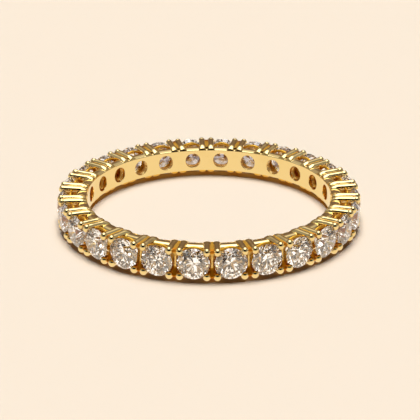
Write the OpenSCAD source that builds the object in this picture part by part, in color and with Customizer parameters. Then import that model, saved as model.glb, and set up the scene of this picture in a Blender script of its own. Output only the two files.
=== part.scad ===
// Full eternity ring: one row of round brilliant stones all the way round a cast band.
// Millimetres. The ring's axis is Z and its origin is the centre of the finger hole, halfway up the band.
// A prong pair lies on +X. Stones and prong pairs take turns round the ring.

/* [Finger hole] */
// Inside diameter of the ring
bore_d = 17.3; // [15:0.1:21]

/* [Band] */
// Thickness of the band that touches the finger
band_wall = 0.5; // [0.4:0.05:0.7]
// How far the band's rim lies below the top of the prongs
rim_drop = 0.14; // [0.08:0.01:0.22]
// Width of the bevel between the rim and the finger hole
bevel_w = 0.26; // [0.1:0.02:0.36]
// Height of that bevel
bevel_h = 0.15; // [0.1:0.01:0.2]
// Diameter of the round hole behind each stone
hole_d = 1.1; // [0.8:0.05:1.2]

/* [Stones] */
// Diameter of a stone at its girdle
stone_d = 2.2; // [2.05:0.05:2.45]
// Smallest gap left between the girdles of neighbouring stones
stone_gap = 0.25; // [0.2:0.05:0.4]
// Width of the table from corner to corner
table_d = 1.28; // [1.15:0.01:1.4]
// Height of the crown, from the girdle to the table
crown_h = 0.34; // [0.28:0.01:0.38]
// Thickness of the girdle
girdle_h = 0.05; // [0.03:0.01:0.08]
// Depth of the pavilion, from the girdle to the culet
pavilion_h = 0.97; // [0.88:0.01:1.05]
// Gap between the culet and the band
culet_gap = 0.2; // [0.15:0.05:0.4]
// Clearance between a stone and the metal that holds it
seat_gap = 0.03; // [0.02:0.01:0.05]

/* [Prongs] */
// Diameter of the prong wire
prong_d = 0.47; // [0.41:0.02:0.51]
// Diameter of the ball at a prong's tip
tip_d = 0.52; // [0.5:0.02:0.6]
// How far a tip's centre stands out past the middle of the girdle
tip_rise = 0.1; // [0.06:0.01:0.16]
// How deep the girdle is let into the prong wire
prong_bite = 0.06; // [0.04:0.01:0.12]
// Distance between the two prongs of a pair at their tips
tip_pitch = 0.7; // [0.66:0.02:0.78]
// Distance between the two prongs of a pair at their heels
heel_pitch = 0.64; // [0.58:0.02:0.7]
// How much nearer the ring's middle plane a prong's bend lies than its tip
prong_splay = 0.035; // [0:0.005:0.06]
// How far a prong's heel falls from its bend to the finger hole
heel_drop = 0.2; // [0.16:0.01:0.26]
// How much wider than the wire the rounded bend is
bend_extra = 0.02; // [0.01:0.01:0.04]

/* [Gallery] */
// Diameter of the gallery wire under each stone
gallery_d = 0.26; // [0.2:0.02:0.3]
// How far the gallery wire's centre stands off the band
gallery_rise = 0.31; // [0.25:0.02:0.39]
// How far the gallery wire lies inside the stone's edge
gallery_inset = 0.05; // [0.02:0.01:0.12]
// Thickness of the wall between neighbouring stones
wall_t = 0.32; // [0.26:0.02:0.36]
// How far that wall's outer edge lies inside the girdle
wall_inset = 0.05; // [0.02:0.01:0.2]
// Rounding of that wall's outer corners
wall_round = 0.45; // [0.35:0.01:0.55]
// Depth of the groove between the two prongs of a pair
groove_depth = 0.26; // [0.22:0.02:0.34]

/* [Hidden] */
$fn = 48;
bore_r = bore_d / 2;
band_r = bore_r + band_wall;
stone_r = stone_d / 2;
table_r = table_d / 2;
prong_r = prong_d / 2;
tip_ball_r = tip_d / 2;

// Places along a stone's own axis, measured from the ring's axis
culet_at = band_r + culet_gap;
girdle_at = culet_at + pavilion_h;
tip_at = girdle_at + girdle_h / 2 + tip_rise;
gallery_at = band_r + gallery_rise;
wall_at = girdle_at - wall_inset;

// As many stones as fit on the circle through the girdles
stone_count = floor(180 / asin((stone_d + stone_gap) / 2 / girdle_at));
pitch = 360 / stone_count;

// Height of the prong tips over the middle of the band, where the wires bite the girdle by prong_bite
tip_side = tip_at * sin(pitch / 2) - tip_pitch / 2 * cos(pitch / 2);
tip_z = sqrt(pow(stone_r + prong_r - prong_bite, 2) - pow(tip_side, 2));
bend_z = tip_z - prong_splay;
prong_top = bend_z + prong_r;
rim_z = prong_top - rim_drop;
wall_z = prong_top - groove_depth;
gallery_r = stone_r - gallery_inset - gallery_d / 2;

// Length by which a cut or a heel runs past the surface that it must cross
overrun = 0.15;

// Facets of the brilliant cut: eight mains, and twice as many points on the girdle
mains = 8;
girdle_points = 2 * mains;
// Share of the crown's width that the star facets take
star_share = 0.5;
// Share of the pavilion's width that the lower halves take
lower_share = 0.78;
star_r = table_r * cos(180 / mains) + star_share * (stone_r - table_r * cos(180 / mains));
lower_r = stone_r * (1 - lower_share);
star_h = crown_h * (stone_r - star_r * cos(180 / mains)) / (stone_r - table_r);
lower_h = pavilion_h * (1 - lower_r * cos(180 / mains) / stone_r);

function two_digits(i) = str(i < 10 ? "0" : "", i);
function stone_name(i) = str("stone_", two_digits(i));

// Points of a regular ring of n corners at radius r and height h, from angle a0
function ring(n, r, h, a0) =
    [for (i = [0:n - 1]) [r * cos(a0 + i * 360 / n), r * sin(a0 + i * 360 / n), h]];

// Turns what is drawn at +X to prong pair i, with +X outwards and +Z along the ring's axis
module at_pair(i) {
    rotate([0, 0, i * pitch]) children();
}

// Turns what is drawn at +X to stone i, halfway between pairs i - 1 and i
module at_stone(i) {
    rotate([0, 0, (i - 0.5) * pitch]) children();
}

// Lays what is drawn along +Z on the +X axis instead, with its own +X pointing along the ring's axis
module outwards() {
    rotate([0, 90, 0]) children();
}

// Draws along +Z from point a towards point b
module aimed(a, b) {
    v = b - a;
    translate(a) rotate([0, acos(v[2] / norm(v)), atan2(v[1], v[0])]) children();
}

// The half of a flat shape that lies at x >= 0, for turning round its axis
module right_half(reach) {
    intersection() {
        translate([0, -reach]) square([reach, 2 * reach]);
        children();
    }
}

// Section of the band, with both rims bevelled towards the finger hole
module band_section() {
    bore_z = rim_z - bevel_h;
    polygon([
        [bore_r, -bore_z],
        [bore_r + bevel_w, -rim_z],
        [band_r, -rim_z],
        [band_r, rim_z],
        [bore_r + bevel_w, rim_z],
        [bore_r, bore_z],
    ]);
}

// One prong: a straight wire from its rounded bend to its ball tip, and the heel that falls to the band
module prong(side) {
    bend = [band_r, side * heel_pitch / 2, bend_z];
    tip = [tip_at, side * tip_pitch / 2, tip_z];
    fall = heel_drop / band_wall;
    foot_x = bore_r - overrun;
    foot = [foot_x, bend[1], bend_z - fall * (band_r - foot_x)];
    run = norm(tip - bend);
    aimed(bend, tip) rotate_extrude() right_half(2 * run) {
        circle(prong_r + bend_extra / 2);
        square([prong_r, run]);
        translate([0, run]) circle(tip_ball_r);
    }
    aimed(foot, bend) cylinder(h = norm(bend - foot), r = prong_r);
}

// The wall between neighbouring stones, with rounded outer corners
module wall_between() {
    wall_from = (bore_r + band_r) / 2;
    corner_x = wall_at - wall_round;
    corner_z = wall_z - wall_round;
    rotate([90, 0, 0]) linear_extrude(wall_t, center = true) {
        translate([wall_from, -wall_z]) square([corner_x - wall_from, 2 * wall_z]);
        translate([wall_from, -corner_z]) square([wall_at - wall_from, 2 * corner_z]);
        for (side = [-1, 1]) translate([corner_x, side * corner_z]) circle(wall_round);
    }
}

// The four prongs and the wall of one prong pair, notched for the stones on both sides
module prong_pair() {
    difference() {
        union() {
            for (side = [-1, 1]) {
                prong(side);
                mirror([0, 0, 1]) prong(side);
            }
            wall_between();
        }
        for (side = [-1, 1]) rotate([0, 0, side * pitch / 2]) stone_room();
    }
}

// The round wire under one stone
module gallery_wire() {
    translate([gallery_at, 0, 0]) outwards() rotate_extrude()
        translate([gallery_r, 0]) circle(d = gallery_d);
}

// The room that one stone takes up, with its clearance
module stone_room() {
    r = stone_r + seat_gap;
    translate([girdle_at, 0, 0]) outwards() rotate_extrude() polygon([
        [0, -pavilion_h - seat_gap],
        [seat_gap, -pavilion_h - seat_gap],
        [r, -seat_gap],
        [r, girdle_h + seat_gap],
        [table_r + seat_gap, girdle_h + crown_h + seat_gap],
        [0, girdle_h + crown_h + seat_gap],
    ]);
}

// The hole through the band behind one stone
module back_hole() {
    translate([bore_r - overrun, 0, 0]) outwards() cylinder(h = band_wall + 2 * overrun, d = hole_d);
}

// Round brilliant, girdle at height 0 and table upwards, with the middle of a star facet at angle 0
module brilliant() {
    step = 360 / girdle_points;
    table = ring(mains, table_r, girdle_h + crown_h, step);
    stars = ring(mains, star_r, girdle_h + star_h, 0);
    upper = ring(girdle_points, stone_r, girdle_h, 0);
    lower = ring(girdle_points, stone_r, 0, 0);
    halves = ring(mains, lower_r, -lower_h, 0);
    culet = [[0, 0, -pavilion_h]];
    // First point of each ring in the joined list
    t = 0;
    s = t + mains;
    u = s + mains;
    l = u + girdle_points;
    h = l + girdle_points;
    c = h + mains;
    m = mains;
    g = girdle_points;
    polyhedron(
        points = concat(table, stars, upper, lower, halves, culet),
        faces = concat(
            [[for (i = [0:m - 1]) t + m - 1 - i]],
            [for (i = [0:m - 1]) [t + (i + m - 1) % m, t + i, s + i]],
            [for (i = [0:m - 1]) [t + i, s + (i + 1) % m, u + 2 * i + 1, s + i]],
            [for (i = [0:m - 1]) [s + i, u + 2 * i + 1, u + 2 * i]],
            [for (i = [0:m - 1]) [s + i, u + 2 * i, u + (2 * i + g - 1) % g]],
            [for (i = [0:g - 1]) [u + i, u + (i + 1) % g, l + (i + 1) % g, l + i]],
            [for (i = [0:m - 1]) [h + i, l + 2 * i, l + 2 * i + 1]],
            [for (i = [0:m - 1]) [h + i, l + (2 * i + g - 1) % g, l + 2 * i]],
            [for (i = [0:m - 1]) [c, h + i, l + 2 * i + 1, h + (i + 1) % m]]
        )
    );
}

module setting() {
    color("goldenrod") difference() {
        union() {
            rotate_extrude() band_section();
            for (i = [1:stone_count]) {
                at_pair(i) prong_pair();
                at_stone(i) gallery_wire();
            }
        }
        cylinder(h = 4 * prong_top, d = bore_d, center = true);
        for (i = [1:stone_count]) at_stone(i) back_hole();
    }
}

module stone(i) {
    color("white") at_stone(i) translate([girdle_at, 0, 0]) outwards() brilliant();
}

setting();
for (i = [1:stone_count]) {
    stone(i);
}
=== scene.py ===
import math

import bmesh
import bpy
import numpy as np
from bpy.props import FloatProperty, FloatVectorProperty, PointerProperty
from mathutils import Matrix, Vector


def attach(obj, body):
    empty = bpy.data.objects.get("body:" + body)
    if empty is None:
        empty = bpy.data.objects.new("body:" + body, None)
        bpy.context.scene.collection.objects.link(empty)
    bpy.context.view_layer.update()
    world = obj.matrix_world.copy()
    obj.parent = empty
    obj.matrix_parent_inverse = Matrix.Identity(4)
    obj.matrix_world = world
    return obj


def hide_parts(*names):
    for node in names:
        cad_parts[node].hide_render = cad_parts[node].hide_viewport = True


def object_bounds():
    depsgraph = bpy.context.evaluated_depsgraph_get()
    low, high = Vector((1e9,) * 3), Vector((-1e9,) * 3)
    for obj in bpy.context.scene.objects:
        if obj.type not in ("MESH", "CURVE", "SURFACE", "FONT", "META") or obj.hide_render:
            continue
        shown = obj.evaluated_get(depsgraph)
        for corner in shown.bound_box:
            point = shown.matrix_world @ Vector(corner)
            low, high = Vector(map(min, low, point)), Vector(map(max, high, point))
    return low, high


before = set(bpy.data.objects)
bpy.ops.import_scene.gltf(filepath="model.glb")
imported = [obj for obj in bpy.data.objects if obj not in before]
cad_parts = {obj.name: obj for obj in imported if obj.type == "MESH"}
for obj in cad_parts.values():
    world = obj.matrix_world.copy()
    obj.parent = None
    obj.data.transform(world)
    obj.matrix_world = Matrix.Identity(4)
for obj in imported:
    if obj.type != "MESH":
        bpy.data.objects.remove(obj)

bl_info = {
    "name": "Eternity Ring",
    "version": (1, 0, 0),
    "blender": (4, 5, 0),
    "location": "View3D > Sidebar > Ring",
    "description": "Dresses a packed eternity ring: cast setting, brilliants and a small studio",
    "category": "Add Mesh",
}

CAD_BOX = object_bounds()
MM = 0.001
# Points nearer to each other than this, in metres, become one
MERGE_WITHIN = 2e-7
STONES = sorted(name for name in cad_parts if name.startswith("stone_"))
PITCH = 2 * math.pi / len(STONES)

# Height of the rolled edge under the rail, as a share of the height over it
RAIL_UNDER = 0.2
# Facets of a brilliant round its table; the girdle has twice as many points
MAINS = 8
# How far the things stand off that only the stones show: the card, the slats and the cloths, in metres
CARD_R, SLATS_R, CLOTH_R = 12 * MM, 0.25, 0.26


# Sizes, colours and light

def a_number(name, description, value, **limits):
    """A plain number in a property group."""
    return FloatProperty(name=name, description=description, default=value, **limits)


def a_length(name, description, millimetres):
    """A length in a property group, given in millimetres and kept in metres."""
    return a_number(name, description, millimetres * MM, unit="LENGTH", subtype="DISTANCE", min=0,
                    precision=5)


def an_angle(name, description, degrees, **limits):
    """An angle in a property group, given in degrees and kept in radians."""
    return a_number(name, description, math.radians(degrees), unit="ROTATION", subtype="ANGLE", **limits)


def a_colour(name, description, linear, most=1):
    """A colour in a property group, as linear red, green and blue, none of them over most."""
    return FloatVectorProperty(name=name, description=description, default=linear, subtype="COLOR", size=3,
                               min=0, max=most)


class RingSizes(bpy.types.PropertyGroup):
    """Sizes of the cast setting and its stones"""

    bore_r: a_length("Finger hole radius", "Radius of the finger hole", 8.65)
    band_r: a_length("Band radius", "Radius of the band's outer wall, under the stones", 9.15)
    bore_z: a_length("Bore height", "Height at which the bore's wall turns into the rim", 0.765)
    hole_r: a_length("Back hole radius", "Radius of the round hole behind each stone", 0.55)
    edge_r: a_length("Edge rounding", "Rounding that polishing leaves on the edges", 0.03)

    rim_z: a_length("Rim height", "Height of the rim's level over the middle of the band", 0.885)
    rim_slope: an_angle("Rim slope", "Angle of the bevel from the bore up to the rim's level", 14, min=0.05)
    lip: a_length("Lip rounding", "Rounding between the bore's wall and the rim", 0.06)
    rail_r: a_length("Rail radius", "Radius of the rail's outer edge", 9.46)
    rail_edge: a_length("Rail rounding", "Breadth of the rounding over the rail's outer edge", 0.28)
    rail_drop: a_length("Rail drop", "Height of that rounding", 0.25)

    stone_r: a_length("Stone radius", "Radius of a stone at its girdle", 1.1)
    table_r: a_length("Table radius", "Radius of the table's corners", 0.64)
    crown_h: a_length("Crown height", "Height of the crown over the girdle", 0.34)
    girdle_h: a_length("Girdle height", "Thickness of the girdle at its corners", 0.05)
    pavilion_h: a_length("Pavilion depth", "Depth of the pavilion under the girdle", 0.97)
    girdle_at: a_length("Girdle distance", "Distance of the girdle from the ring's axis", 10.32)
    seat_gap: a_length("Seat gap", "Clearance between a stone and the metal", 0.03)

    prong_r: a_length("Prong radius", "Radius of the prong wire", 0.235)
    tip_r: a_length("Tip radius", "Radius of the ball at a prong's tip", 0.26)
    tip_at: a_length("Tip distance", "Distance of the tips' centres from the ring's axis", 10.445)
    tip_z: a_length("Tip height", "Height of the tips' centres over the middle of the band", 0.8945)
    tip_y: a_length("Tip offset", "Half the distance between the two tips of a pair", 0.35)
    tip_tall: a_number("Tip stretch", "Height of a tip over its width", 1.12, min=1, max=1.4)
    bend_z: a_length("Bend height", "Height of a prong's bend over the middle of the band", 0.8595)
    wire_power: a_number("Wire squareness", "Power of the superellipse across a prong", 2.4, min=2, max=6)

    heel_y: a_length("Heel offset", "Half the distance between the two heels of a pair", 0.32)
    heel_slope: a_number("Heel slope", "Fall of a heel from its bend to the bore", 0.3, min=0, max=2)
    heel_broad: a_number("Heel breadth", "How much broader a heel is than the wire", 0.26, min=0, max=0.5)
    heel_from: a_length("Heel start", "Height over the middle at which the heels start to round", 0.72)
    heel_round: a_length("Heel rounding", "Rounding of the heels where they meet the bore's wall", 0.35)

    gallery_at: a_length("Gallery distance", "Distance of the gallery wires from the ring's axis", 9.8)
    gallery_r: a_length("Gallery radius", "Radius of the circle that a gallery wire follows", 0.93)
    gallery_wire: a_length("Gallery wire", "Radius of the gallery wire itself", 0.1)

    wall_at: a_length("Wall edge", "Distance of the outer edge of the walls between the stones", 10.2)
    wall_z: a_length("Wall height", "Height of those walls over the middle of the band", 0.975)
    wall_half: a_length("Wall half width", "Half the thickness of those walls", 0.14)
    wall_flare: a_length("Wall flare", "Extra half width where a wall runs into its prongs", 0.2)
    wall_nose: a_length("Wall nose", "Depth of the rounding across a wall's outer edge", 0.13)
    wall_swell: a_length("Wall swell", "How far a wall's edge swells outwards at its ends", 0.24)
    groove_hollow: a_length("Groove hollow", "Depth of the hollow between the prongs of a pair", 0.05)
    # How much of the painted shade a wall's nose is spared, so that it shows more of the open gold
    nose_unshaded: a_number("Nose gold", "How much a wall's nose keeps of the open gold", 0.6, min=0, max=1)


class RingFinish(bpy.types.PropertyGroup):
    """Colours and polish of the gold and the stones"""

    gold: a_colour("Gold", "Colour that polished yellow gold reflects", (0.94, 0.745, 0.354))
    gold_shade: a_colour("Worn gold", "Colour of the gold where it is dulled", (0.915, 0.71, 0.31))
    # The next three colours are painted shade, not the metal's own: the gold in recesses, in deeper recesses
    # and where light hardly gets in
    gold_painted_shade: a_colour("Deep gold", "Colour of the gold in recesses, where light meets it several times",
                        (0.86, 0.49, 0.06))
    gold_painted_deep_shade: a_colour("Dark gold", "Colour of the gold in the deepest recesses", (0.7, 0.24, 0.01))
    gold_painted_deepest_shade: a_colour("Shut-in gold", "Colour of the gold where light hardly gets in", (0.3, 0.11, 0.008))
    polish: a_number("Polish", "Roughness of the polished gold", 0.03, min=0, max=1)
    dull: a_number("Dull patches", "Roughness where the polish has dulled", 0.07, min=0, max=1)
    soften: a_length("Edge softening", "Radius over which edges and joints are softened", 0.03)
    stone: a_colour("Stone", "Colour of a clear, white stone", (1.0, 1.0, 1.0))
    stone_film: a_colour("Stone film", "Colour of the faint film left by wear", (0.965, 0.968, 0.975))
    ior: a_number("Refractive index", "Refractive index of the stones", 2.417, min=1, max=3)


class RingStudio(bpy.types.PropertyGroup):
    """Camera, floor and light of the small studio"""

    lens: a_number("Lens", "Focal length for a 36 mm sensor", 156.46, min=10, max=400, unit="CAMERA")
    distance: a_length("Camera distance", "Distance from the camera to the ring's centre", 129.64)
    elevation: an_angle("Camera elevation", "Angle of the camera above the floor", 22.51)
    turn: an_angle("Camera turn", "Angle of the camera round the ring's axis, from +X", -84.228)
    shift_x: a_number("Shift X", "Sideways shift of the picture", 0.00231, precision=5)
    shift_y: a_number("Shift Y", "Upward shift of the picture", -0.01417, precision=5)

    floor: a_colour("Floor", "Colour of the pale floor", (0.41, 0.26, 0.134))
    floor_r: a_length("Floor radius", "Radius of the floor", 800)
    key: a_colour("Key light", "Light of all the lamps together on the floor", (7.52, 10.23, 16.26), 40)
    fill: a_colour("Fill light", "Warm part of it, which lights the shadow too", (1.1, 0.45, 0.0), 4)

    top: a_number("Overhead light", "Brightness of the softbox overhead", 2.6, min=0)
    lean: an_angle("Softbox lean", "Angle by which the softbox leans away from the camera", 4.3)
    spread: an_angle("Softbox spread", "Half the angle that the softbox covers", 35.7)
    side: a_number("Side light", "Brightness at both sides, near the floor", 0.35, min=0)
    back: a_colour("Back", "Colour of the dim wall behind the ring", (0.19, 0.13, 0.095))
    pale: a_colour("Pale", "Colour of the lit floor as the gold and the stones see it", (0.98, 0.85, 0.69))
    horizon: an_angle("Horizon tilt", "Angle by which the pale floor rises towards the camera", 5)
    # The card's colour is a glow, a painted reflection that only the stones show
    card: a_colour("Card", "Colour of the brown card that shows through the stones", (0.36, 0.17, 0.03))


# Surfaces

def lattice(points, ring=False):
    """Quads over a grid of points (rows, columns, 3). With ring, the last column joins the first one."""
    rows, cols = points.shape[:2]
    index = np.arange(rows * cols).reshape(rows, cols)
    if ring:
        index = np.concatenate([index, index[:, :1]], axis=1)
    quads = np.stack([index[:-1, :-1], index[:-1, 1:], index[1:, 1:], index[1:, :-1]], axis=-1)
    return points.reshape(-1, 3), quads.reshape(-1, 4)


def gathered(parts):
    """Puts several (points, faces) pairs into one, with each pair's face numbers after those before it."""
    starts = np.cumsum([0] + [len(points) for points, _ in parts[:-1]])
    return (np.concatenate([points for points, _ in parts]),
            np.concatenate([faces + start for (_, faces), start in zip(parts, starts)]))


def turned(points, angles):
    """The points turned about the Z axis by each angle: x cos - y sin, x sin + y cos, z."""
    c, s = np.cos(angles)[:, None], np.sin(angles)[:, None]
    x, y, z = points.T
    return np.stack([c * x - s * y, s * x + c * y, np.broadcast_to(z, (len(angles), len(z)))], axis=-1)


def round_the_ring(part, count, offset=0.0):
    """Copies of a part turned about the Z axis: copy i by (i + offset) pitches."""
    points, faces = part
    shift = (np.arange(count) * len(points))[:, None, None]
    copies = turned(points, (np.arange(count) + offset) * PITCH)
    return copies.reshape(-1, 3), (faces[None] + shift).reshape(-1, faces.shape[1])


def unit(vectors):
    """Each vector divided by its length."""
    return vectors / np.linalg.norm(vectors, axis=-1, keepdims=True)


def soft_max(a, b, blend):
    """The larger of a and b, with the corner where they cross rounded over the width blend."""
    return (a + b + np.sqrt((a - b) ** 2 + blend ** 2)) / 2


def soft_min(a, b, blend):
    """The smaller of a and b, with the corner where they cross rounded over the width blend."""
    return (a + b - np.sqrt((a - b) ** 2 + blend ** 2)) / 2


def smooth_step(value, low, high):
    """0 below low, 1 above high, and 3t^2 - 2t^3 between them."""
    t = np.clip((value - low) / (high - low), 0, 1)
    return t * t * (3 - 2 * t)


def clear_of_stone(points, size, side):
    """Moves points out of the room of the stone at angle side * pitch / 2.
    About the stone's axis a point has a height a and a distance d. The room's radius at a is the smaller of
    the pavilion's cone and the crown's cone, and never more than the girdle, all with the seat gap. d
    becomes the larger of d and that radius, with a rounded corner. Points near the culet or further off
    than catch stay."""
    rounding, catch, nothing = 0.012 * MM, 0.1 * MM, 1e-9
    turn = side * PITCH / 2
    c, s = math.cos(turn), math.sin(turn)
    x, y, z = points[..., 0], points[..., 1], points[..., 2]
    height = c * x + s * y - size.girdle_at
    across = -s * x + c * y
    distance = np.hypot(across, z)
    gap = size.seat_gap
    reach = size.stone_r + gap
    pavilion = reach * (height + size.pavilion_h + gap) / size.pavilion_h
    crown_slope = (size.stone_r - size.table_r) / size.crown_h
    crown = reach - (height - size.girdle_h - gap) * crown_slope
    room = np.minimum(np.minimum(pavilion, crown), reach)
    wanted = soft_max(distance, room, rounding)
    near = (room > size.stone_r / 2) & (distance < room + catch)
    factor = np.where(near, wanted / np.maximum(distance, nothing), 1.0)
    across, z = across * factor, z * factor
    along = height + size.girdle_at
    return np.stack([c * along - s * across, s * along + c * across, z], axis=-1)


def clear_of_bore(points, size):
    """Holds points outside the finger hole.
    The distance from the ring's axis becomes the larger of itself and a wall, with a rounded corner. The
    wall is the bore up to heel_from, and from there a circle of radius R, nearly to its end, which leans
    outwards by R - sqrt(R^2 - rise^2). Behind the band's own surface the wall stands deeper by hidden."""
    proud, hidden, round_share = 0.004 * MM, 0.08 * MM, 0.97
    fade_from, fade_to = size.bore_z - 0.09 * MM, size.bore_z - 0.01 * MM
    x, y, z = points[..., 0], points[..., 1], points[..., 2]
    distance = np.hypot(x, y)
    height = np.abs(z)
    skin = proud + hidden * (1 - smooth_step(height, fade_from, fade_to))
    rise = np.clip(height - size.heel_from, 0, round_share * size.heel_round)
    wall = size.bore_r + skin + size.heel_round - np.sqrt(size.heel_round ** 2 - rise ** 2)
    factor = soft_max(distance, wall, size.edge_r) / distance
    return np.stack([x * factor, y * factor, z], axis=-1)


def prong(size, side, level, columns=12, tip_rows=9):
    """One prong, as a rounded square carried along a path in the plane of its pair.
    Height along the path is the rounded minimum of the wire's line, from bend to tip, and the heel's line,
    which falls towards the bore. The section is a superellipse, whose power falls to 2 at the tip, where it
    becomes a ball: distance -R cos(t) from the ball's centre and radius R sin(t), stretched upright."""
    band, tip = size.band_r, size.tip_at
    bend_round, bend_swell, bend_reach = 0.03 * MM, 0.015 * MM, 0.18 * MM
    broad_to, wire_from = band - 0.15 * MM, band + 0.12 * MM
    ball_from, ball_at = tip - 0.45 * MM, tip - 0.05 * MM
    # Sections along the heel, the bend, the wire and its upper end: from, to and how many
    stretches = (
        (size.bore_r - 0.12 * MM, band - 0.18 * MM, 5),
        (band - 0.12 * MM, band + 0.12 * MM, 4),
        (band + 0.3 * MM, band + 0.7 * MM, 2),
        (band + 0.8 * MM, tip - 0.1 * MM, 9),
    )
    x = np.concatenate([np.linspace(*stretch) for stretch in stretches])
    straight = len(x)
    t = np.linspace(math.asin(size.prong_r / size.tip_r), math.pi, tip_rows + 1)[1:]
    x = np.concatenate([x, tip - size.tip_r * np.cos(t)])
    share = (x - band) / (tip - band)
    wire = size.bend_z + (size.tip_z - size.bend_z) * share
    fall = size.bend_z + size.heel_slope * (x - band)
    z = soft_min(wire, fall, bend_round)
    y = size.heel_y + (size.tip_y - size.heel_y) * np.maximum(share, 0)
    radius = size.prong_r + bend_swell * np.exp(-((x - band) / bend_reach) ** 2)
    radius[straight:] = size.tip_r * np.sin(t)
    towards_tip = smooth_step(x, ball_from, ball_at)
    power = size.wire_power + (2 - size.wire_power) * towards_tip
    tall = 1 + (size.tip_tall - 1) * towards_tip
    path = np.stack([x, side * y, level * (z - (size.tip_tall - 1) * size.tip_r * towards_tip)], axis=-1)
    along = unit(np.gradient(np.stack([x, side * y, level * z], axis=-1), axis=0))
    upright = unit(np.cross([0.0, 1.0, 0.0], along))
    sideways = np.cross(along, upright)
    angle = np.linspace(0, 2 * math.pi, columns, endpoint=False)
    c, s = np.cos(angle)[None], np.sin(angle)[None]
    n = power[:, None]
    swell = (np.abs(c) ** n + np.abs(s) ** n) ** (-1 / n) * radius[:, None]
    broad = 1 + size.heel_broad * (1 - smooth_step(x, broad_to, wire_from))
    ring = (path[:, None] + (swell * c * tall[:, None])[..., None] * upright[:, None]
            + (swell * s * broad[:, None])[..., None] * sideways[:, None])
    # The heel's end is closed by smaller rings about its middle
    cap = np.array([0.0, 0.35, 0.65, 0.85])[:, None, None]
    return lattice(np.concatenate([path[:1, None] + cap * (ring[:1] - path[:1, None]), ring]), ring=True)


def prong_painted_shade(size, points):
    """Painted shade on the prongs' points: 3 on top of the lower prongs, 1 on the lower heels and half on
    the inner ends of the upper heels, in a line at the bore's edge."""
    on_tips, on_heels, on_line = 3.0, 1.0, 0.5
    top_from, top_to = 0.21 * MM - size.tip_z, 0.26 * MM - size.tip_z
    line_from, line_fades, line_to = size.bore_z - 0.05 * MM, 0.88 * MM, 0.94 * MM
    blur, inner_end = 0.03 * MM, size.band_r - 0.3 * MM
    x, _, z = points.T
    tips = smooth_step(z, top_from, top_to) * (z < 0) * (x > size.band_r)
    heels = smooth_step(-z, size.bore_z - blur, size.bore_z + blur) * (x < size.band_r)
    line = smooth_step(z, line_from, size.bore_z) * (1 - smooth_step(z, line_fades, line_to))
    return on_tips * tips + on_heels * heels + on_line * line * (x < inner_end)


def wall_between(size, columns=9):
    """The wall between two stones, as a rounded nose carried round the wall's outline.
    The outline runs in at the bottom, round a small corner, up the outer edge and back at the top. The edge
    is at one distance in the middle and swells outwards towards the prongs at both ends. Across the
    outline, at angle v from -90 to 90 degrees, a point lies at half width times sin(v) sideways and at
    depth times (1 - cos(v)) inside it. Depth is positive along the edge, which makes a nose, and negative
    between the prongs, which makes a groove. Both flanks then run on straight to the band. Returns the wall
    and the painted shade of each of its points.
    and how shut in each of its points is."""
    inner, corner = (size.bore_r + size.band_r) / 2, 0.03 * MM
    swell_from, swell_run, swell_soft = 0.38 * MM, 0.5 * MM, 0.15
    flare_from, flare_to = 0.2 * MM, 0.75 * MM
    # The nose turns into the groove where the outline's outward direction gets this steep
    groove_from, groove_to = 0.75, 0.98
    rise = np.linspace(-1, 1, 21) * (size.wall_z - corner)
    edge = size.wall_at + size.wall_swell * soft_max((np.abs(rise) - swell_from) / swell_run, 0, swell_soft)
    turn = np.linspace(0, math.pi / 2, 4)[1:]
    over_x, over_z = edge[-1] - corner * (1 - np.cos(turn)), rise[-1] + corner * np.sin(turn)
    back = np.linspace(over_x[-1], inner, 5)[1:]
    top = np.full(len(back), over_z[-1])
    x = np.concatenate([back[::-1], over_x[::-1], edge, over_x, back])
    z = np.concatenate([-top, -over_z[::-1], rise, over_z, top])
    outline = np.stack([x, z], axis=-1)
    along = unit(np.gradient(outline, axis=0))
    outward = np.stack([along[:, 1], -along[:, 0]], axis=-1)
    groove = smooth_step(np.abs(outward[:, 1]), groove_from, groove_to)[:, None]
    depth = size.wall_nose * (1 - groove) - size.groove_hollow * groove
    v = np.linspace(-math.pi / 2, math.pi / 2, columns)
    inside = outline[:, None] - (depth * (1 - np.cos(v)))[..., None] * outward[:, None]
    # The flanks start from a spine inside the band, which is not as high as the outline
    spine_share = 0.55
    spine = np.stack([np.full(len(x), inner), spine_share * z], axis=-1)
    steps = np.array([0.0, 0.33, 0.66])
    flank = spine[:, None] + (inside[:, :1] - spine[:, None]) * steps[:, None]
    section = np.concatenate([flank, inside, flank[:, ::-1]], axis=1)
    half = size.wall_half + size.wall_flare * smooth_step(np.abs(section[..., 1]), flare_from, flare_to)
    level = np.zeros(len(steps))
    sideways = np.concatenate([level - 1, np.sin(v), level + 1])[None]
    points = np.stack([section[..., 0], half * sideways, section[..., 1]], axis=-1)
    first, last = points[:, :1], points[:, -1:]
    closing = np.concatenate([last, (first + last) / 2, first], axis=1)
    # The nose is spared part of the painted shade; the ends that close the wall get a level of 1
    nose = np.concatenate([level, np.cos(v), level])[None] * (1 - groove)
    recess = np.concatenate([wall_painted_shade(size, x, z, nose).ravel(), np.ones(closing[..., 0].size)])
    return gathered([lattice(points), lattice(closing)]), recess


def wall_painted_shade(size, x, z, nose):
    """Painted shade on the wall's points: 1, less on the nose, which catches light but fades out at both
    ends, up to 1 more at the lower end, and up to 2 more between the upper tips, where it darkens a
    highlight."""
    low_fade = smooth_step(-z, 0.3 * MM, 0.4 * MM)
    high_fade = 0.4 * smooth_step(z, 0.3 * MM, 0.45 * MM)
    below = smooth_step(-z, 0.3 * MM, 0.42 * MM)
    between = 2.0 * smooth_step(z, 0.72 * MM, 0.86 * MM) * smooth_step(x, 10.2 * MM, 10.35 * MM)
    kept = nose * (1 - low_fade - high_fade)[:, None]
    return 1 - size.nose_unshaded * kept + (below + between)[:, None]


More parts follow.
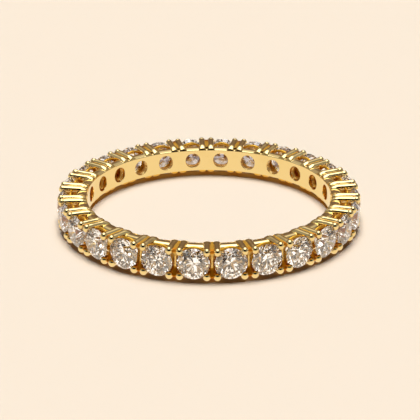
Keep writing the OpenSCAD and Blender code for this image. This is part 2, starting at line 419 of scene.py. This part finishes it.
def gallery_wire(size, columns=10, rows=32):
    """A ring of wire round a stone's axis: distance R + r cos(b) from it and height r sin(b) along it."""
    a = np.linspace(0, 2 * math.pi, rows, endpoint=False)[:, None]
    b = np.linspace(0, 2 * math.pi, columns, endpoint=False)[None]
    distance = size.gallery_r + size.gallery_wire * np.cos(b) + 0 * a
    x = size.gallery_at + size.gallery_wire * np.sin(b) + 0 * a
    points = np.stack([x, distance * np.cos(a), distance * np.sin(a)], axis=-1)
    return lattice(np.concatenate([points, points[:1]]), ring=True)


def rail_foot(size):
    """The height at which the rail's underside meets the band's outer wall."""
    return size.rim_z - (1 + RAIL_UNDER) * size.rail_drop


def band_sector(size, side_cols=8, top_cols=12):
    """One stone's share of the band, centred on +X, as rings that run through the back hole.
    On both walls of the band a ring is the blend of a rectangle's outline and the hole's circle, laid on the
    cylinder of the wall. Inside the hole the rings are circles whose depth runs along the stone's axis, with
    a quarter circle at both edges."""
    shares = np.array([0, 0.35, 0.7, 0.9, 1.0])[:, None]

    def wall(radius, height):
        """Rings on the cylinder of that radius, and the bearings of their points from the hole's centre."""
        run, rise = np.linspace(-1, 1, top_cols + 1)[:-1], np.linspace(-1, 1, side_cols + 1)[:-1]
        angle = PITCH / 2 * np.concatenate([run, np.ones(side_cols), -run, -np.ones(side_cols)])
        z = height * np.concatenate([-np.ones(top_cols), rise, np.ones(top_cols), -rise])
        bearing = np.arctan2(z, radius * angle)
        hole = size.hole_r + size.edge_r
        hole_angle, hole_z = np.arcsin(hole * np.cos(bearing) / radius), hole * np.sin(bearing)
        blend_angle = angle + (hole_angle - angle) * shares
        blend_z = z + (hole_z - z) * shares
        points = np.stack([radius * np.cos(blend_angle), radius * np.sin(blend_angle), blend_z], axis=-1)
        return points, bearing

    def throat(radius, radii, depths, bearing):
        """Circles of those radii in the hole, at those depths from the cylinder of that radius."""
        y, z = radii[:, None] * np.cos(bearing), radii[:, None] * np.sin(bearing)
        return np.stack([np.sqrt(radius ** 2 - y ** 2) + depths[:, None], y, z], axis=-1)

    inner, bearing_in = wall(size.bore_r, size.bore_z)
    outer, bearing_out = wall(size.band_r, rail_foot(size))
    turn = np.linspace(0, math.pi / 2, 4)[1:]
    radii = size.hole_r + size.edge_r * (1 - np.sin(turn))
    depths = size.edge_r * (1 - np.cos(turn))
    throat_in = throat(size.bore_r, radii, depths, bearing_in)
    throat_out = throat(size.band_r, radii[::-1], -depths[::-1], bearing_out)
    return lattice(np.concatenate([inner, throat_in, throat_out, outer[::-1]]), ring=True)


def rim(size, level, count, columns=12):
    """The rim and its rail, a profile turned round the ring's axis.
    The profile leaves the bore over a small round lip, climbs a straight bevel to the rim's level, rolls
    over the rail's edge in a quarter of an ellipse, and comes back in under it, over a flatter quarter, to
    the outer wall."""
    slope = size.rim_slope
    turn = np.linspace(0, math.pi / 2 - slope, 5)
    r, z = size.bore_r + size.lip * (1 - np.cos(turn)), size.bore_z + size.lip * np.sin(turn)
    climb_shares = np.array([0.15, 0.85, 1.0])
    climb = climb_shares * (size.rim_z - z[-1])
    over = np.linspace(0, math.pi, 11)
    roll = np.where(over < math.pi / 2, 1.0, RAIL_UNDER) * np.cos(over)
    rolled_r = size.rail_r - size.rail_edge * (1 - np.sin(over))
    rolled_z = size.rim_z - size.rail_drop * (1 - roll)
    r = np.concatenate([r, r[-1] + climb / math.tan(slope), rolled_r, [size.band_r]])
    z = np.concatenate([z, z[-1] + climb, rolled_z, [rail_foot(size)]])
    angle = (np.arange(count * columns) / columns - 0.5) * PITCH
    points = np.stack([r[:, None] * np.cos(angle), r[:, None] * np.sin(angle),
                       level * np.broadcast_to(z[:, None], (len(z), len(angle)))], axis=-1)
    return lattice(points, ring=True)


def brilliant(size, arc=4):
    """A round brilliant, girdle at height 0 and table up, as flat facets cut from planes.
    Eight mains and sixteen halves on each side of the girdle. On the girdle's cylinder a half facet's edge
    lies at the height that its plane has there, so the edge is scalloped between the sixteen points that it
    shares. Each scallop has arc steps. The stars take star_share of the crown's width, and the lower halves
    stop at lower_share of the stone's radius."""
    star_share, lower_share = 0.5, 0.22
    step = math.pi / MAINS
    mains = np.arange(MAINS)
    table_z = size.girdle_h + size.crown_h
    inner_star = size.table_r * math.cos(step)
    star_r = inner_star + star_share * (size.stone_r - inner_star)
    star_rise = size.crown_h * (size.stone_r - star_r * math.cos(step)) / (size.stone_r - size.table_r)
    star_z = size.girdle_h + star_rise
    lower_r = size.stone_r * lower_share
    lower_z = -size.pavilion_h * (1 - lower_r * math.cos(step) / size.stone_r)

    def ring(radius, z, angle):
        """Points at those angles on a circle of that radius, at height z."""
        level = np.broadcast_to(z, angle.shape)
        return np.stack([radius * np.cos(angle), radius * np.sin(angle), level], axis=-1)

    def scallops(apex_r, apex_z, rest_z):
        """Heights on the girdle's cylinder of planes through an apex and two of the girdle's points."""
        angle = np.arange(2 * MAINS * arc) * step / arc
        local = np.abs((angle + step) % (2 * step) - step)
        a = np.array([apex_r, 0, apex_z])
        b = np.array([size.stone_r, 0, rest_z])
        c = np.array([size.stone_r * math.cos(step), size.stone_r * math.sin(step), rest_z])
        normal = np.cross(b - a, c - a)
        x, y = size.stone_r * np.cos(local), size.stone_r * np.sin(local)
        return angle, a[2] - (normal[0] * (x - a[0]) + normal[1] * (y - a[1])) / normal[2]

    angle, top = scallops(star_r, star_z, size.girdle_h)
    _, bottom = scallops(lower_r, lower_z, 0.0)
    points = np.concatenate([
        ring(size.table_r, table_z, (2 * mains + 1) * step),
        ring(star_r, star_z, 2 * mains * step),
        ring(size.stone_r, top, angle),
        ring(size.stone_r, bottom, angle),
        ring(lower_r, lower_z, 2 * mains * step),
        np.array([[0, 0, -size.pavilion_h]]),
    ])
    # Number of the first point of each ring: table, stars, upper and lower girdle, halves, culet
    n = 2 * MAINS * arc
    table, star, upper, lower, half, culet = np.cumsum([0, MAINS, MAINS, n, n, MAINS])
    m, span = mains[:, None], np.arange(arc + 1)[None]
    nxt, prv = (m + 1) % MAINS, (m - 1) % MAINS
    rise, back = (2 * m * arc + span) % n, (2 * m * arc - span) % n
    middle = (2 * m + 1) * arc % n
    edge = np.arange(n)[:, None]
    after = (edge + 1) % n
    facets = [
        table + mains[None],
        np.concatenate([table + m, table + prv, star + m], axis=1),
        np.concatenate([table + m, star + m, upper + middle, star + nxt], axis=1),
        np.concatenate([star + m, upper + rise], axis=1),
        np.concatenate([star + m, (upper + back)[:, ::-1]], axis=1),
        np.concatenate([upper + edge, lower + edge, lower + after, upper + after], axis=1),
        np.concatenate([half + m, (lower + rise)[:, ::-1]], axis=1),
        np.concatenate([half + m, lower + back], axis=1),
        np.concatenate([culet + 0 * m, half + nxt, lower + middle, half + m], axis=1),
    ]
    return points, [face for group in facets for face in group.tolist()]


def piece_from(name, points, faces, smooth, recess=None):
    """A mesh object at the origin, its doubles merged and its faces turned outwards. The painted shade of
    each point, if that is given, becomes an attribute of the mesh."""
    mesh = bpy.data.meshes.new(name)
    mesh.from_pydata(points, [], faces if isinstance(faces, list) else faces.tolist())
    if recess is not None:
        mesh.attributes.new("recess", "FLOAT", "POINT").data.foreach_set("value", recess)
    work = bmesh.new()
    work.from_mesh(mesh)
    bmesh.ops.remove_doubles(work, verts=work.verts, dist=MERGE_WITHIN)
    bmesh.ops.recalc_face_normals(work, faces=work.faces)
    work.to_mesh(mesh)
    work.free()
    mesh.polygons.foreach_set("use_smooth", np.full(len(mesh.polygons), smooth))
    mesh.update()
    piece = bpy.data.objects.new(name, mesh)
    bpy.context.scene.collection.objects.link(piece)
    return piece


# Finishes

class Wire:
    """A socket in a node tree, with arithmetic that adds Math nodes."""

    def __init__(self, tree, socket):
        self.tree, self.socket = tree, socket

    def _math(self, operation, *values):
        return self.tree.add("ShaderNodeMath", {"operation": operation}, dict(enumerate(values)))[0]

    def __add__(self, other):
        return self._math("ADD", self, other)

    def __radd__(self, other):
        return self._math("ADD", other, self)

    def __sub__(self, other):
        return self._math("SUBTRACT", self, other)

    def __rsub__(self, other):
        return self._math("SUBTRACT", other, self)

    def __mul__(self, other):
        return self._math("MULTIPLY", self, other)

    def __rmul__(self, other):
        return self._math("MULTIPLY", other, self)

    def __truediv__(self, other):
        return self._math("DIVIDE", self, other)


class Finish:
    """A node tree that is filled one node at a time."""

    def __init__(self, tree):
        self.tree = tree
        self.tree.nodes.clear()

    def add(self, kind, settings=None, values=None):
        """A new node: its settings first, then the values or links of its sockets. Returns its outputs."""
        node = self.tree.nodes.new(kind)
        for key, value in (settings or {}).items():
            if key == "stops":
                ramp = node.color_ramp
                while len(ramp.elements) < len(value):
                    ramp.elements.new(0.5)
                for element, (place, colour) in zip(ramp.elements, value):
                    element.position, element.color = place, (*colour, 1)
            else:
                setattr(node, key, value)
        for key, value in (values or {}).items():
            socket = node.inputs[key]
            if isinstance(value, Wire):
                self.tree.links.new(value.socket, socket)
            elif isinstance(value, tuple) and len(value) < len(socket.default_value):
                socket.default_value = (*value, 1)
            else:
                socket.default_value = value
        return [Wire(self, out) for out in node.outputs]

    def step(self, value, low, high):
        """0 below low, 1 above high, smooth between them."""
        return self.add("ShaderNodeMapRange", {"interpolation_type": "SMOOTHSTEP"},
                        {"Value": value, "From Min": low, "From Max": high})[0]

    def blend(self, share, first, second):
        """Colour blend, first at 0 and second at 1."""
        return self.add("ShaderNodeMix", {"data_type": "RGBA", "clamp_factor": True},
                        {0: share, 6: first, 7: second})[2]

    def dot(self, vector, direction):
        """How far a vector points along a direction."""
        return self.add("ShaderNodeVectorMath", {"operation": "DOT_PRODUCT"},
                        {0: vector, 1: tuple(direction)})[1]

    def noise(self, place, scale, detail, rough=0.5):
        """Cloudy noise from 0 to 1, with scale clouds to a metre."""
        return self.add("ShaderNodeTexNoise", {},
                        {"Vector": place, "Scale": scale, "Detail": detail, "Roughness": rough})[0]

    def surface(self, values):
        """A Principled shader with those values, led to the material's output."""
        shader = self.add("ShaderNodeBsdfPrincipled", {}, values)[0]
        self.add("ShaderNodeOutputMaterial", {}, {"Surface": shader})

    def glow(self, colour, strength):
        """A surface that reflects nothing and gives off light of that colour."""
        self.surface({"Base Color": (0, 0, 0), "Roughness": 1.0, "Specular IOR Level": 0.0,
                      "Emission Color": colour, "Emission Strength": strength})


def new_finish(name):
    """A new material, its empty Finish and the Object coordinates in it."""
    material = bpy.data.materials.new(name)
    material.use_nodes = True
    m = Finish(material.node_tree)
    return material, m, m.add("ShaderNodeTexCoord")[3]


def polished_gold(look):
    """Polished yellow gold: soft cloudy dulling, fine rubbing marks round the band, edges eased by
    polishing. Painted shade from an attribute of the mesh takes the colour from the open gold to the
    deep, the dark and the shut-in one, at 1, 2 and 3, and makes the gold rougher, by up to 0.4, as it rises
    from 0 to 1."""
    material, m, place = new_finish("polished_gold")
    wear = m.step(m.noise(place, scale=420.0, detail=4.0, rough=0.6), 0.45, 0.75)
    stretched = m.add("ShaderNodeMapping", {}, {"Vector": place, "Scale": (3500.0, 3500.0, 26000.0)})[0]
    rubbing = m.noise(stretched, scale=1.0, detail=3.0)
    # Painted shade: each point's level of it, from the mesh's attribute
    recess = m.add("ShaderNodeAttribute", {"attribute_name": "recess"})[2]
    colour = m.blend(recess, m.blend(wear, tuple(look.gold), tuple(look.gold_shade)), tuple(look.gold_painted_shade))
    colour = m.blend(recess - 1.0, colour, tuple(look.gold_painted_deep_shade))
    colour = m.blend(recess - 2.0, colour, tuple(look.gold_painted_deepest_shade))
    rough = look.polish + (look.dull - look.polish) * wear + 0.02 * m.step(rubbing, 0.55, 0.7)
    rough = rough + 0.4 * m.step(recess, 0.0, 1.0)
    eased = m.add("ShaderNodeBevel", {"samples": 4}, {"Radius": look.soften})[0]
    bumped = m.add("ShaderNodeBump", {}, {"Strength": 0.1, "Distance": 0.004 * MM, "Height": rubbing,
                                          "Normal": eased})[0]
    m.surface({"Base Color": colour, "Metallic": 1.0, "Roughness": rough, "Normal": bumped})
    return material


def clear_stone(look):
    """A clear white stone, with the faintest film of wear on its facets."""
    material, m, place = new_finish("clear_stone")
    film = m.step(m.noise(place, scale=900.0, detail=3.0), 0.5, 0.8)
    m.surface({"Base Color": m.blend(film, tuple(look.stone), tuple(look.stone_film)), "Metallic": 0.0,
               "Roughness": 0.0, "IOR": look.ior, "Transmission Weight": 1.0})
    return material


def floor_paper(studio):
    """Plain matt paper with a very faint mottle."""
    material, m, place = new_finish("floor_paper")
    mottle = m.noise(place, scale=60.0, detail=5.0)
    colour = m.blend(mottle, tuple(0.997 * c for c in studio.floor), tuple(studio.floor))
    m.surface({"Base Color": colour, "Roughness": 1.0, "Specular IOR Level": 0.0})
    return material


def bowl_cloth():
    """Pale warm cloth, lit from behind, as a floor of light."""
    material, m, place = new_finish("bowl_cloth")
    cloud = m.noise(place, scale=20.0, detail=2.0)
    m.glow(m.blend(cloud, (0.9, 0.8, 0.68), (1.0, 0.91, 0.8)), strength=1.6)
    return material


def diffuser_cloth(studio):
    """Thin white cloth, lit from behind and a little cloudy; its far side glows brown, a painted reflection
    that only the stones show.
    """
    material, m, place = new_finish("diffuser_cloth")
    cloth = m.blend(m.noise(place, scale=20.0, detail=2.0), (0.9, 0.84, 0.77), (1.0, 0.97, 0.93))
    nearer = m.step(m.dot(place, camera_direction(studio)), 0.05, 0.09)
    m.glow(m.blend(nearer, tuple(0.7 * c for c in studio.card), cloth), strength=2.6)
    return material


def slat_glow():
    """Slats that glow black and tan, each colour some centimetres long: painted dark specks and reflections
    that only the stones show.
    """
    material, m, place = new_finish("slat_glow")
    patch = m.step(m.noise(place, scale=14.0, detail=1.0), 0.49, 0.53)
    m.glow(m.blend(patch, (0.003, 0.003, 0.004), (0.5, 0.29, 0.11)), strength=1.0)
    return material


def card_glow(studio):
    """Card that glows a little, brown above and grey below, uneven like the inside of a folded box: a
    painted reflection that only the stones show.
    """
    material, m, place = new_finish("card_glow")
    grain = m.step(m.noise(place, scale=700.0, detail=2.0), 0.4, 0.6)
    height = m.add("ShaderNodeSeparateXYZ", {}, {0: place})[2]
    brown = m.blend(grain, tuple(0.6 * c for c in studio.card), tuple(studio.card))
    grey = m.blend(grain, (0.3, 0.265, 0.27), (0.75, 0.68, 0.66))
    m.glow(m.blend(m.step(height, 0.8 * MM, 2.2 * MM), grey, brown), strength=1.0)
    return material


# The studio

def camera_direction(studio):
    """Unit vector from the ring's centre to the camera."""
    c = math.cos(studio.elevation)
    return Vector((c * math.cos(studio.turn), c * math.sin(studio.turn), math.sin(studio.elevation)))


def studio_light(studio):
    """Light by direction. Below a horizon that tilts up towards the camera lies the pale floor. Above it
    are a dim glow at both sides, a brown wall behind that brightens upwards, darkness round the camera, and
    over all of them a softbox overhead that leans back and is narrower sideways."""
    black, edge_soft, sideways_cut, horizon_soft = (0.004, 0.004, 0.004), 0.035, 0.6, 0.03
    world = bpy.data.worlds.new("studio_light")
    world.use_nodes = True
    w = Finish(world.node_tree)
    way = w.add("ShaderNodeTexCoord")[0]
    up = w.dot(way, (0, 0, 1))
    camera_way = camera_direction(studio)
    flat = Vector((camera_way.x, camera_way.y, 0)).normalized()

    def leaning(angle):
        """Straight up, leaned away from the camera by that angle."""
        return Vector((-flat.x * math.sin(angle), -flat.y * math.sin(angle), math.cos(angle)))

    level = w.add("ShaderNodeMath", {"operation": "SQRT"}, {0: 1.0001 - up * up})[0]
    bearing = w.dot(way, flat) / level
    back = w.add("ShaderNodeValToRGB", {"stops": [
        (0.0, (0.10, 0.075, 0.06)), (0.2, tuple(studio.back)), (0.42, (0.235, 0.17, 0.13)),
        (0.64, (0.55, 0.5, 0.45)), (0.76, (1.0, 0.95, 0.9))]}, {"Fac": up})[0]
    side = w.blend(w.step(up, 0.3, 0.9), (studio.side,) * 3, (0.25, 0.23, 0.2))
    total = w.blend(w.step(bearing * -1.0, 0.3, 0.75), side, back)
    total = w.blend(w.step(bearing, 0.5, 0.85), total, black)
    sideways = w.dot(way, (-flat.y, flat.x, 0))
    cap = w.dot(way, leaning(studio.lean)) - sideways_cut * sideways * sideways
    overhead = w.step(cap, math.cos(studio.spread + edge_soft), math.cos(studio.spread - edge_soft))
    total = w.blend(overhead, total, (studio.top,) * 3)
    above = w.dot(way, leaning(studio.horizon))
    total = w.blend(w.step(above, -horizon_soft, horizon_soft), tuple(studio.pale), total)
    shader = w.add("ShaderNodeBackground", {}, {"Color": total})[0]
    w.add("ShaderNodeOutputWorld", {}, {"Surface": shader})
    return world


def card_round(studio, ground):
    """A standing card round the ring's far side, part of a cylinder, from under the floor to 7 mm up."""
    half_turn, below, top = math.radians(115), 3 * MM, 7 * MM
    angle = studio.turn + math.pi + np.linspace(-1, 1, 65) * half_turn
    rise = np.linspace(ground - below, top, 9)[:, None]
    return lattice(np.stack([CARD_R * np.cos(angle) + 0 * rise, CARD_R * np.sin(angle) + 0 * rise,
                             rise + 0 * angle[None]], axis=-1))


def on_sphere(radius, rise, turn):
    """Points on a sphere round the ring, at each elevation in a row and each bearing in a column."""
    reach = radius * np.cos(rise)
    return np.stack([reach * np.cos(turn), reach * np.sin(turn), radius * np.sin(rise) + 0 * turn], axis=-1)


def slats_round(count=18, rows=13):
    """Upright slats on a sphere round the ring, each 9.6 degrees wide."""
    rise = np.radians(np.linspace(-55, 62, rows))[:, None]
    across = np.radians(np.linspace(-4.8, 4.8, 3))[None]
    slat = lattice(on_sphere(SLATS_R, rise, across))
    return [round_the_ring(slat, 1, (i + 0.15) * len(STONES) / count) for i in range(count)]


def sphere_zone(low, high):
    """A zone of a sphere round the ring, between two elevations in degrees."""
    rise = np.radians(np.linspace(low, high, 9))[:, None]
    turn = np.linspace(0, 2 * math.pi, 48, endpoint=False)[None]
    return lattice(on_sphere(CLOTH_R, rise, turn), ring=True)


def looking_in(name, data, way, distance):
    """A lamp or a camera that looks at the ring's centre from that direction and distance."""
    seer = bpy.data.objects.new(name, data)
    seer.location = distance * way
    seer.rotation_euler = (-way).to_track_quat("-Z", "Y").to_euler()
    bpy.context.scene.collection.objects.link(seer)
    return seer


def hang_lamps(studio):
    """Three suns that lean away from the camera.
    The key and the sky share out the floor's light, less the fill, and throw the shadow. The sky's part is
    bluish and comes from lower down and from a broader disc, so the shadow's outer part is warm. The fill
    throws no shadow, and warms it."""
    distance = 0.6
    away = camera_direction(studio)
    away.z = 0
    shared = [whole - part for whole, part in zip(studio.key, studio.fill)]
    # Name, lean and breadth of the disc in degrees, share of each channel, and the light that is shared
    suns = (
        ("key", 15, 24, (0.96, 0.82, 0.68), shared),
        ("sky", 21, 36, (0.04, 0.18, 0.32), shared),
        ("fill", 15, 24, (1, 1, 1), studio.fill),
    )
    for name, degrees, disc, shares, whole in suns:
        lean = math.radians(degrees)
        way = -math.sin(lean) * away.normalized() + Vector((0, 0, math.cos(lean)))
        colour = [part * c for part, c in zip(shares, whole)]
        light = bpy.data.lights.new(name, "SUN")
        light.energy = max(colour) / math.cos(lean)
        light.color = [c / max(colour) for c in colour]
        light.angle = math.radians(disc)
        light.use_shadow = name != "fill"
        lamp = looking_in(name, light, way, distance)
        lamp.visible_glossy = lamp.visible_transmission = False


# Operators, panel and main

class RING_OT_cast_setting(bpy.types.Operator):
    """Build the cast setting, its band, prongs, walls and gallery wires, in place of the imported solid"""

    bl_idname = "ring.cast_setting"
    bl_label = "Cast Setting"

    def execute(self, context):
        size, look = context.scene.ring_sizes, context.scene.ring_finish
        count = len(STONES)
        prongs = gathered([prong(size, side, level) for side in (-1, 1) for level in (-1, 1)])
        wall, shade_on_wall = wall_between(size)
        points, faces = gathered([prongs, wall])
        for side in (-1, 1):
            points = clear_of_stone(points, size, side)
        points = clear_of_bore(points, size)
        wires, sectors = gallery_wire(size), band_sector(size)
        rims = gathered([rim(size, level, count) for level in (-1, 1)])
        parts = [
            round_the_ring((points, faces), count),
            round_the_ring(wires, count, 0.5),
            round_the_ring(sectors, count, 0.5),
            rims,
        ]
        # Painted shade on the points: 1.1 on the wires, 1 on the band's outer wall and under the rail's edge
        shade_on_wires = np.full(count * len(wires[0]), 1.1)
        shade_on_sector = smooth_step(np.hypot(sectors[0][:, 0], sectors[0][:, 1]), size.bore_r, size.band_r)
        shade_on_rims = smooth_step(size.rim_z - np.abs(rims[0][:, 2]), 0.6 * size.rail_drop, size.rail_drop)
        recess = np.concatenate([
            np.tile(np.concatenate([prong_painted_shade(size, prongs[0]), shade_on_wall]), count),
            shade_on_wires,
            np.tile(shade_on_sector, count),
            shade_on_rims,
        ])
        piece = piece_from("cast_setting", *gathered(parts), True, recess)
        piece.data.materials.append(polished_gold(look))
        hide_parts("setting")
        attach(piece, "root")
        return {"FINISHED"}


class RING_OT_set_stones(bpy.types.Operator):
    """Set a round brilliant in the place of each packed stone"""

    bl_idname = "ring.set_stones"
    bl_label = "Set Stones"

    def execute(self, context):
        size, look = context.scene.ring_sizes, context.scene.ring_finish
        finish = clear_stone(look)
        points, faces = brilliant(size)
        x, y, z = points.T
        lying = np.stack([size.girdle_at + z, y, -x], axis=-1)
        places = turned(lying, (np.arange(len(STONES)) + 0.5) * PITCH)
        for node, place in zip(STONES, places):
            piece = piece_from(node.replace("stone", "brilliant"), place, faces, False)
            piece.data.materials.append(finish)
            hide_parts(node)
            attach(piece, "root")
        return {"FINISHED"}


class RING_OT_studio(bpy.types.Operator):
    """Lay the pale floor under the ring, light it softly and place the camera"""

    bl_idname = "ring.studio"
    bl_label = "Studio"

    def execute(self, context):
        studio, scene = context.scene.ring_studio, context.scene
        ground = CAD_BOX[0].z
        angle = np.linspace(0, 2 * math.pi, 96, endpoint=False)
        reach = studio.floor_r * np.array([0, 0.05, 0.3, 1.0])[:, None]
        level = np.full((len(reach), len(angle)), ground)
        points = np.stack([reach * np.cos(angle), reach * np.sin(angle), level], axis=-1)
        floor = piece_from("floor", *lattice(points, ring=True), True)
        if floor.data.polygons[0].normal.z < 0:
            floor.data.flip_normals()
        floor.data.materials.append(floor_paper(studio))
        floor.visible_glossy = floor.visible_transmission = False

        # What only the stones show: cloths, card and slats that glow, as painted light and reflections in
        # them
        for name, surface, paint in (("brown_card", card_round(studio, ground), card_glow(studio)),
                                     ("slats", gathered(slats_round()), slat_glow()),
                                     ("bowl", sphere_zone(low=-90, high=3), bowl_cloth()),
                                     ("diffuser", sphere_zone(low=57, high=90), diffuser_cloth(studio))):
            card = piece_from(name, *surface, True)
            card.data.materials.append(paint)
            card.visible_camera = card.visible_diffuse = card.visible_glossy = card.visible_shadow = False

        hang_lamps(studio)
        scene.world = studio_light(studio)
        scene.world.cycles_visibility.diffuse = False
        scene.view_settings.view_transform = "Standard"
        # Light meets many facets before it leaves a stone
        scene.cycles.max_bounces = 24
        scene.cycles.glossy_bounces = 16
        scene.cycles.transmission_bounces = 20

        lens = bpy.data.cameras.new("camera")
        lens.sensor_width = 36
        lens.lens = studio.lens
        lens.shift_x, lens.shift_y = studio.shift_x, studio.shift_y
        lens.clip_start, lens.clip_end = 0.001, 10
        scene.camera = looking_in("camera", lens, camera_direction(studio), studio.distance)
        return {"FINISHED"}


class RING_PT_sidebar(bpy.types.Panel):
    """The ring's pieces, sizes and finishes"""

    bl_label = "Eternity Ring"
    bl_idname = "RING_PT_sidebar"
    bl_space_type = "VIEW_3D"
    bl_region_type = "UI"
    bl_category = "Ring"

    def draw(self, context):
        column = self.layout.column()
        for maker in OPERATORS:
            column.operator(maker.bl_idname)
        for group in (context.scene.ring_sizes, context.scene.ring_finish, context.scene.ring_studio):
            box = self.layout.box()
            for name in group.__annotations__:
                box.prop(group, name)


OPERATORS = (RING_OT_studio, RING_OT_cast_setting, RING_OT_set_stones)
CLASSES = (RingSizes, RingFinish, RingStudio) + OPERATORS + (RING_PT_sidebar,)


def register():
    """Adds the classes and the three groups of settings."""
    for part in CLASSES:
        bpy.utils.register_class(part)
    bpy.types.Scene.ring_sizes = PointerProperty(type=RingSizes)
    bpy.types.Scene.ring_finish = PointerProperty(type=RingFinish)
    bpy.types.Scene.ring_studio = PointerProperty(type=RingStudio)


def unregister():
    """Takes them away again."""
    del bpy.types.Scene.ring_studio, bpy.types.Scene.ring_finish, bpy.types.Scene.ring_sizes
    for part in reversed(CLASSES):
        bpy.utils.unregister_class(part)


def main():
    """Builds the studio and the pieces in order."""
    register()
    bpy.ops.ring.studio()
    bpy.ops.ring.cast_setting()
    bpy.ops.ring.set_stones()


if __name__ == "__main__":
    main()
